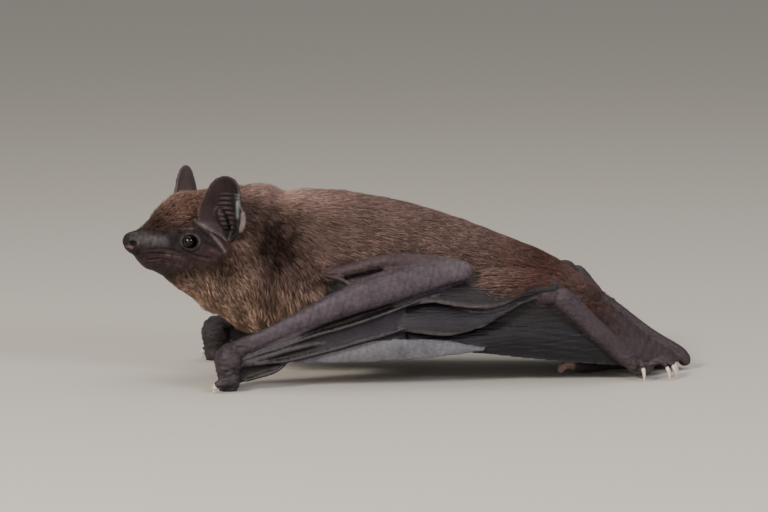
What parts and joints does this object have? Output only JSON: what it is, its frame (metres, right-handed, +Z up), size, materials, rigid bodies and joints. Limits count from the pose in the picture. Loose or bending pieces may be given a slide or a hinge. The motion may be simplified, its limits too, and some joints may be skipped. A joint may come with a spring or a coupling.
{
  "type": "bat",
  "caption": "Small brown vesper bat resting on all fours with folded wings and upright ears, a still life-size display animal.",
  "frame": {"origin": "middle of the footprint, on the floor under the wrists, thumbs, feet and tail tip", "axes": "+X from head to tail, +Y out of the bat's right side, +Z up"},
  "size_m": [0.0795, 0.0358, 0.029],
  "materials": {
    "fur": "short sleek reddish-brown coat",
    "face_skin": "bare wrinkled dark skin with a soft sheen",
    "ear_skin": "thin bare ribbed skin",
    "arm_skin": "pinkish grey creased skin",
    "wing_web": "dark bluish pleated wing membrane",
    "foot_skin": "wrinkled grey-brown skin",
    "eye": "wet black gloss",
    "claw": "pale horn"
  },
  "bodies": {
    "root": {"abdomen": "fur", "arm_membrane_left": "wing_web", "arm_membrane_right": "wing_web", "chest": "fur", "ear_left": "ear_skin", "ear_right": "ear_skin", "eye_left": "eye", "eye_right": "eye", "finger_2_left": "arm_skin", "finger_2_right": "arm_skin", "finger_3_left": "arm_skin", "finger_3_right": "arm_skin", "finger_4_left": "arm_skin", "finger_4_right": "arm_skin", "finger_5_left": "arm_skin", "finger_5_right": "arm_skin", "foot_left": "foot_skin", "foot_right": "foot_skin", "forearm_left": "arm_skin", "forearm_right": "arm_skin", "hand_membrane_left": "wing_web", "hand_membrane_right": "wing_web", "head": "fur", "lower_jaw": "face_skin", "neck": "fur", "rump": "fur", "shin_left": "foot_skin", "shin_right": "foot_skin", "shoulder_membrane_left": "wing_web", "shoulder_membrane_right": "wing_web", "tail": "wing_web", "tail_membrane": "wing_web", "tail_tip": "wing_web", "thigh_left": "fur", "thigh_right": "fur", "thumb_left": "arm_skin", "thumb_right": "arm_skin", "upper_arm_left": "arm_skin", "upper_arm_right": "arm_skin", "wrist_left": "arm_skin", "wrist_right": "arm_skin"}
  },
  "joints": []
}
